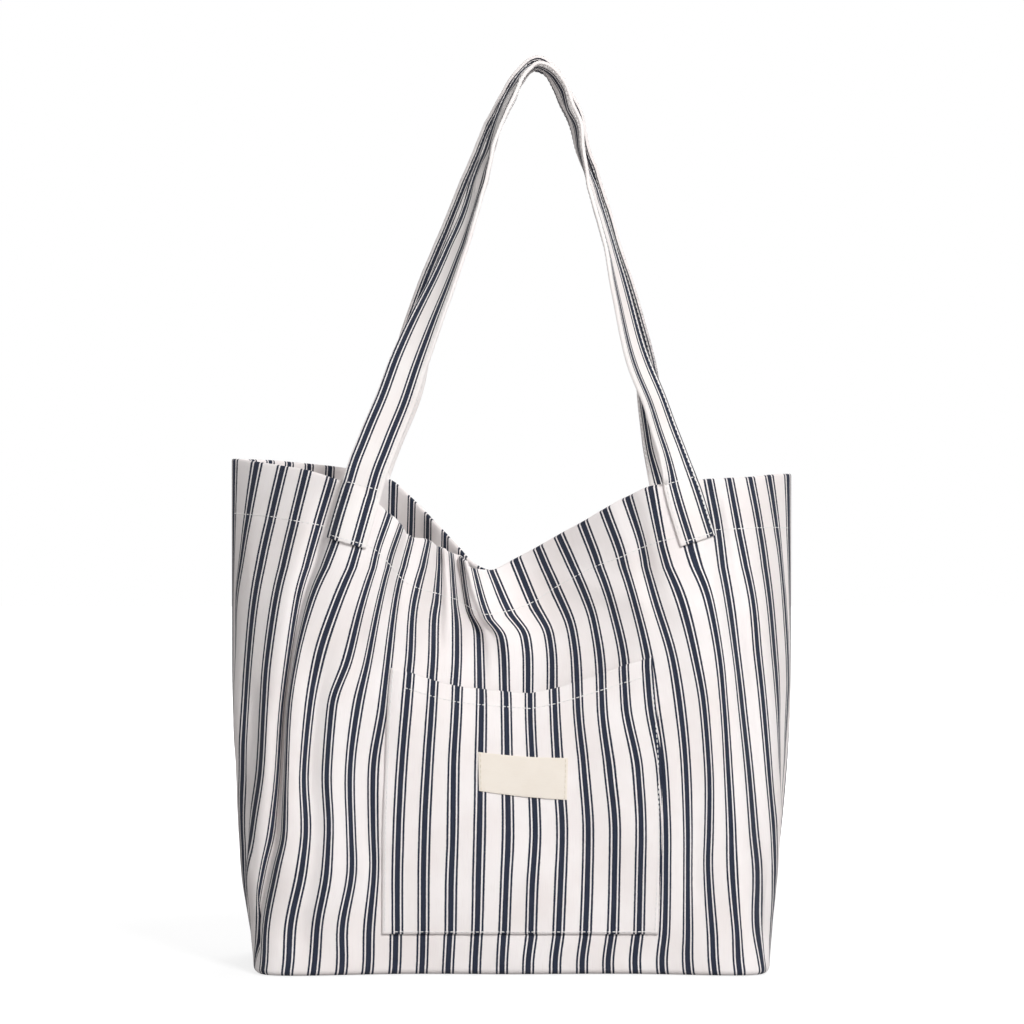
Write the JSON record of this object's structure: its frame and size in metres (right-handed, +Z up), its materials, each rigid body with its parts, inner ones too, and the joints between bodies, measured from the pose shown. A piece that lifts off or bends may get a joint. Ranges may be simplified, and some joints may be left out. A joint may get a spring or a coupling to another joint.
{
  "type": "tote bag",
  "caption": "Striped canvas tote bag with a boxed base, a front patch pocket and two long handles held up together over a drooping mouth.",
  "frame": {"origin": "centre of the bounding box on the base plane, where the bag stands", "axes": "+Z up through the handles, the pocket side faces -Y, +X to the right seen from the front"},
  "size_m": [0.375, 0.1592, 0.6048],
  "materials": {
    "ticking_canvas": "woven cotton ticking, navy stripes on off-white",
    "strap_canvas": "folded and stitched ticking strap",
    "seam_tape": "plain woven binding tape",
    "label_cloth": "plain cream woven cotton label, blank"
  },
  "bodies": {
    "bag": {"front_panel": "ticking_canvas", "back_panel": "ticking_canvas", "front_hem": "ticking_canvas", "back_hem": "ticking_canvas", "front_pocket": "ticking_canvas", "pocket_hem": "ticking_canvas", "front_handle_left_end": "strap_canvas", "front_handle_right_end": "strap_canvas", "back_handle_left_end": "strap_canvas", "back_handle_right_end": "strap_canvas", "left_seam_binding": "seam_tape", "right_seam_binding": "seam_tape", "left_corner_binding": "seam_tape", "right_corner_binding": "seam_tape", "bottom_seam_binding": "seam_tape", "pocket_label": "label_cloth"},
    "front_handle": {"front_handle": "strap_canvas"},
    "back_handle": {"back_handle": "strap_canvas"}
  },
  "joints": [
    {"name": "front_handle_swing", "type": "hinge", "parent": "bag", "child": "front_handle", "pos_m": [0, -0.06136, 0.326], "axis": [1, 0, 0], "range_deg": [0, 170]},
    {"name": "back_handle_swing", "type": "hinge", "parent": "bag", "child": "back_handle", "pos_m": [0, 0.06136, 0.326], "axis": [-1, 0, 0], "range_deg": [0, 170]}
  ]
}
